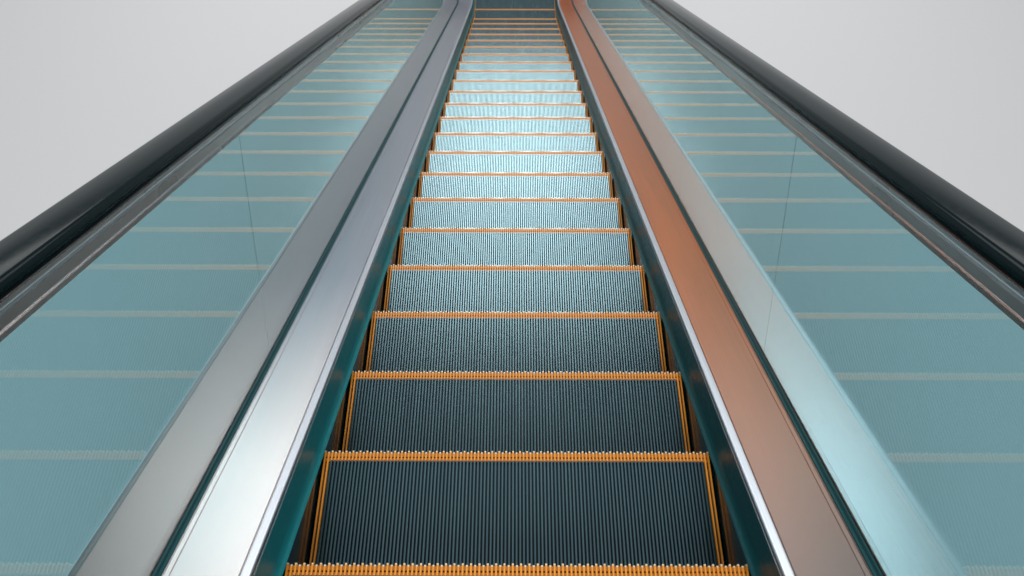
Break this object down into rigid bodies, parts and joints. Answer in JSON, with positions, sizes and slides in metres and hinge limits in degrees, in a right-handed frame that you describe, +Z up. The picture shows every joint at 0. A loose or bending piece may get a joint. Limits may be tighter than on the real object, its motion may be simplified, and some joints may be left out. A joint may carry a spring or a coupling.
{
  "type": "escalator",
  "caption": "Indoor escalator with glass balustrades, black handrails, cleated steps with yellow edges, combs and clad truss.",
  "frame": {"origin": "middle of the underside of the lower bearing flange, where it lies on the structural floor", "axes": "+X across the steps to the right of someone riding up, +Y towards the upper landing, +Z up"},
  "size_m": [1.715, 13.9637, 6.1384],
  "materials": {
    "painted_frame": "matt grey paint",
    "cladding": "brushed along the travel",
    "track_steel": "rolled, oiled",
    "floor_plate": "fine ribs",
    "comb_plate": "ribbed casting",
    "step": "dark cleated casting",
    "skirt": "smooth low-friction coating",
    "edge_trim": "satin extrusion",
    "cool_deck": "brushed along the travel",
    "warm_deck": "brushed, warm tone",
    "outer_deck": "brushed along the travel",
    "clamp": "extruded",
    "seal": "smooth",
    "glass": "clear, toughened",
    "guide": "satin",
    "handrail": "glossy black",
    "inlet": "satin black"
  },
  "bodies": {
    "root": {"lower_bearing": "painted_frame", "upper_bearing": "painted_frame", "truss_left": "painted_frame", "truss_right": "painted_frame", "truss_cross_beams": "painted_frame", "lower_landing_beams": "painted_frame", "upper_landing_beams": "painted_frame", "upper_end_plate": "cladding", "track_left": "track_steel", "track_right": "track_steel", "side_panels_left": "cladding", "side_panels_right": "cladding", "soffit_panels": "cladding", "lower_floor_plate": "floor_plate", "upper_floor_plate": "floor_plate", "lower_comb_plate": "comb_plate", "upper_comb_plate": "comb_plate", "skirt_left": "skirt", "skirt_right": "skirt", "edge_trim_left": "edge_trim", "edge_trim_right": "edge_trim", "inner_deck_left": "warm_deck", "inner_deck_right": "cool_deck", "outer_deck_left": "outer_deck", "outer_deck_right": "outer_deck", "balustrade_brackets_left": "clamp", "balustrade_brackets_right": "clamp", "glass_clamp_left": "clamp", "glass_clamp_right": "clamp", "glass_seal_left": "seal", "glass_seal_right": "seal", "glass_left": "glass", "glass_right": "glass", "handrail_guide_left": "guide", "handrail_guide_right": "guide", "handrail_left": "handrail", "handrail_right": "handrail", "lower_inlets": "inlet", "upper_inlets": "inlet", "steps_1": "step", "steps_2": "step", "steps_3": "step", "steps_4": "step", "steps_5": "step", "steps_6": "step", "steps_7": "step", "steps_8": "step"}
  },
  "joints": []
}
